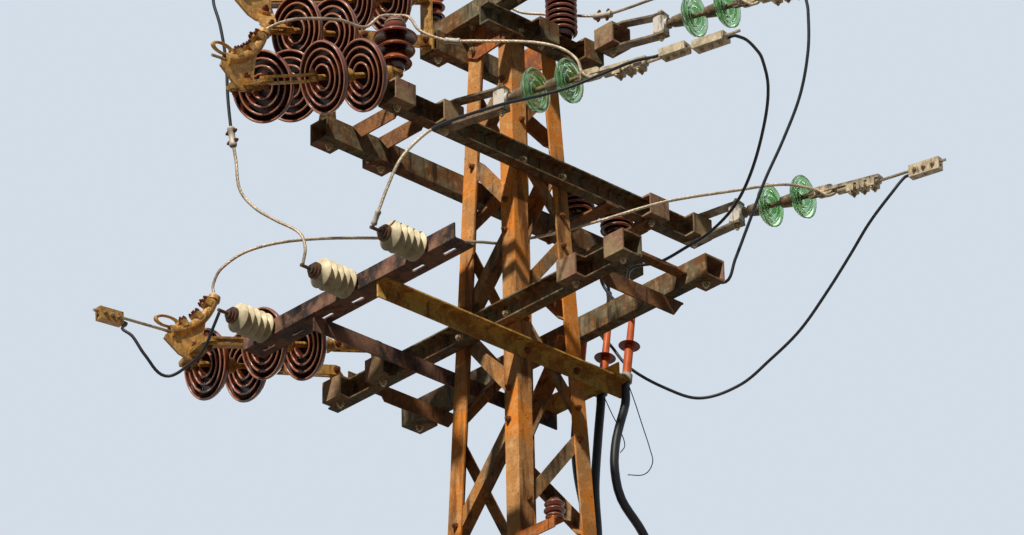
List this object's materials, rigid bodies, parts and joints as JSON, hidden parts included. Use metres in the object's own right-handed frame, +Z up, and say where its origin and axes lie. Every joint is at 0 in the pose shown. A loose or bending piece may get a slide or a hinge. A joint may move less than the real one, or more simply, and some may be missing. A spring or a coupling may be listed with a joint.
{
  "type": "steel lattice power pole",
  "caption": "Tapering steel lattice pole with channel crossarms, dead-end insulator strings, surge arresters and cable terminations.",
  "frame": {"origin": "centre of the plinth's underside, at ground level", "axes": "+Z up the pole; the left line leaves towards -Y, the right line towards +X"},
  "size_m": [2.2178, 2.3065, 11.2534],
  "materials": {
    "concrete": "weathered concrete",
    "rusted_leg": "orange rust",
    "rusted_bracing": "orange rust over old zinc",
    "rusted_arm": "dark rust",
    "arrester_housing": "cream silicone",
    "brown_porcelain": "dark brown glaze",
    "ochre_fittings": "yellow zinc with rust",
    "green_glass": "green toughened glass",
    "galvanised": "weathered zinc",
    "termination_sleeve": "heat-shrink tube",
    "cable_sheath": "black sheath",
    "conductor": "weathered strands",
    "white_bracket": "white paint"
  },
  "bodies": {
    "root": {"plinth": "concrete", "leg_front": "rusted_leg", "leg_left": "rusted_leg", "leg_right": "rusted_leg", "leg_back": "rusted_leg", "bracing_left": "rusted_bracing", "bracing_right": "rusted_bracing", "bracing_back_right": "rusted_bracing", "bracing_back_left": "rusted_bracing", "top_gussets": "rusted_arm", "top_angle": "rusted_arm", "top_arms": "rusted_arm", "top_cross_box": "rusted_arm", "middle_arm_front": "rusted_arm", "middle_arm_back": "rusted_arm", "middle_boxes": "rusted_arm", "middle_ties": "rusted_arm", "low_arm_front": "rusted_arm", "low_arm_back": "rusted_arm", "low_boxes": "rusted_arm", "low_ties": "rusted_arm", "arrester_arm_front": "rusted_arm", "arrester_arm_back": "rusted_arm", "arrester_rail": "rusted_arm", "arresters": "arrester_housing", "arrester_studs": "rusted_arm", "line_discs_top": "brown_porcelain", "line_discs_middle": "brown_porcelain", "line_discs_low": "brown_porcelain", "line_fittings_top": "ochre_fittings", "line_fittings_middle": "ochre_fittings", "line_fittings_low": "ochre_fittings", "glass_discs": "green_glass", "glass_straps": "galvanised", "clamps": "galvanised", "post_insulators": "brown_porcelain", "post_pins": "rusted_arm", "low_bracket": "rusted_arm", "low_insulator": "brown_porcelain", "cable_bar": "rusted_arm", "cable_brackets": "white_bracket", "terminations": "termination_sleeve", "termination_sheds": "termination_sleeve", "riser_cables": "cable_sheath", "jumpers": "conductor"}
  },
  "joints": []
}
